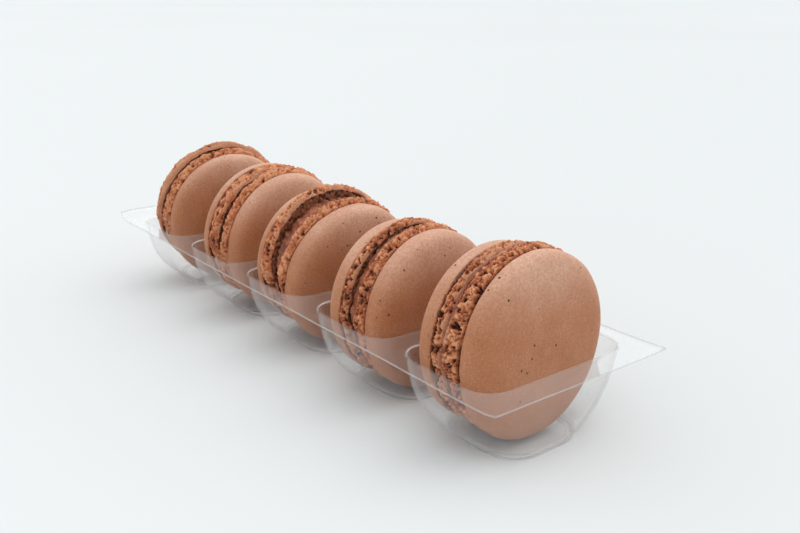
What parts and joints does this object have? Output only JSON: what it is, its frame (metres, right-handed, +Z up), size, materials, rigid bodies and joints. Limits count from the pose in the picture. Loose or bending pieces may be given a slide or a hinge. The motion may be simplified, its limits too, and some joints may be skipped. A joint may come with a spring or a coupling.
{
  "type": "clear insert tray of macarons",
  "caption": "Clear thermoformed tray with a flat flange and rounded pockets, holding chocolate macarons on edge: smooth domed shells with craggy feet around a ganache filling.",
  "frame": {"origin": "on the surface that the tray stands on, under the middle of the tray", "axes": "+X along the row of macarons, towards the end that the picture shows nearest; +Y across the tray, away from the camera's side; +Z up"},
  "size_m": [0.177, 0.0506, 0.0443],
  "materials": {
    "film": "clear, thin and glossy",
    "baked_shell": "baked almond meringue, satin on the domes and craggy on the feet",
    "ganache": "soft chocolate filling"
  },
  "bodies": {
    "root": {"tray": "film", "macaron_1_front_shell": "baked_shell", "macaron_1_filling": "ganache", "macaron_1_rear_shell": "baked_shell", "macaron_2_front_shell": "baked_shell", "macaron_2_filling": "ganache", "macaron_2_rear_shell": "baked_shell", "macaron_3_front_shell": "baked_shell", "macaron_3_filling": "ganache", "macaron_3_rear_shell": "baked_shell", "macaron_4_front_shell": "baked_shell", "macaron_4_filling": "ganache", "macaron_4_rear_shell": "baked_shell", "macaron_5_front_shell": "baked_shell", "macaron_5_filling": "ganache", "macaron_5_rear_shell": "baked_shell"}
  },
  "joints": []
}
